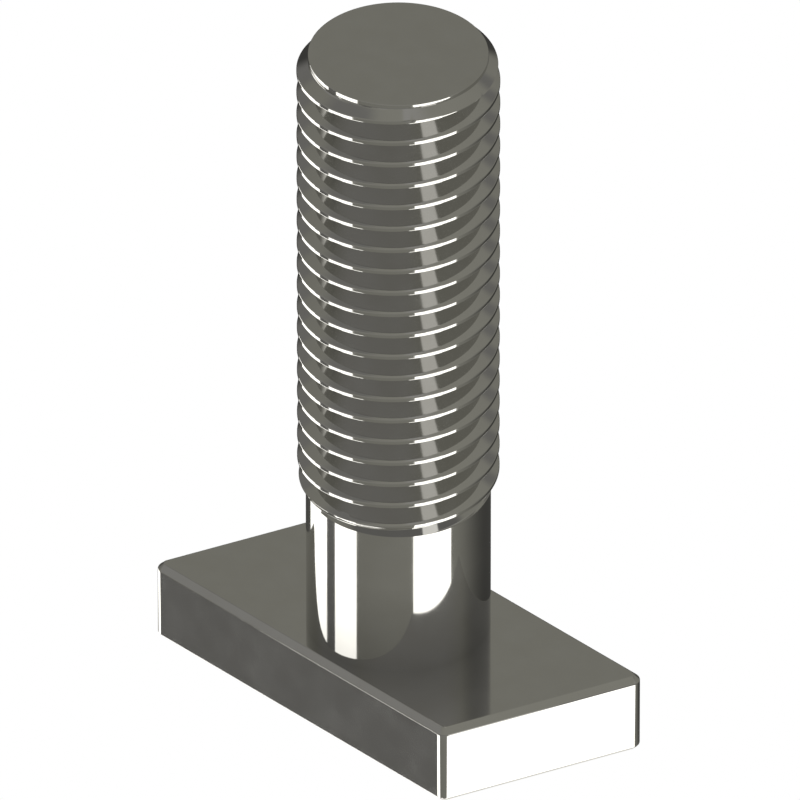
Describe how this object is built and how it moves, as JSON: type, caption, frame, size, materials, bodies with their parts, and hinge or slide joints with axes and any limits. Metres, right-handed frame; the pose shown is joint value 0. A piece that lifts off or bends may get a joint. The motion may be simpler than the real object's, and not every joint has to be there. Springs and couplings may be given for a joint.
{
  "type": "solar panel mounting bolt",
  "caption": "Hammer-head bolt: a flat skewed head that turns across a rail slot, a plain shank and a right-hand M10 fine thread.",
  "frame": {"origin": "middle of the flat underside of the head, on the bolt's axis", "axes": "+Z along the bolt from the head to the free end, +X along the long edges of the head"},
  "size_m": [0.0234, 0.0104, 0.0376],
  "materials": {
    "stainless_steel": "smooth cold-forged and thread-rolled stainless steel"
  },
  "bodies": {
    "root": {"hammer_head_bolt": "stainless_steel"}
  },
  "joints": []
}
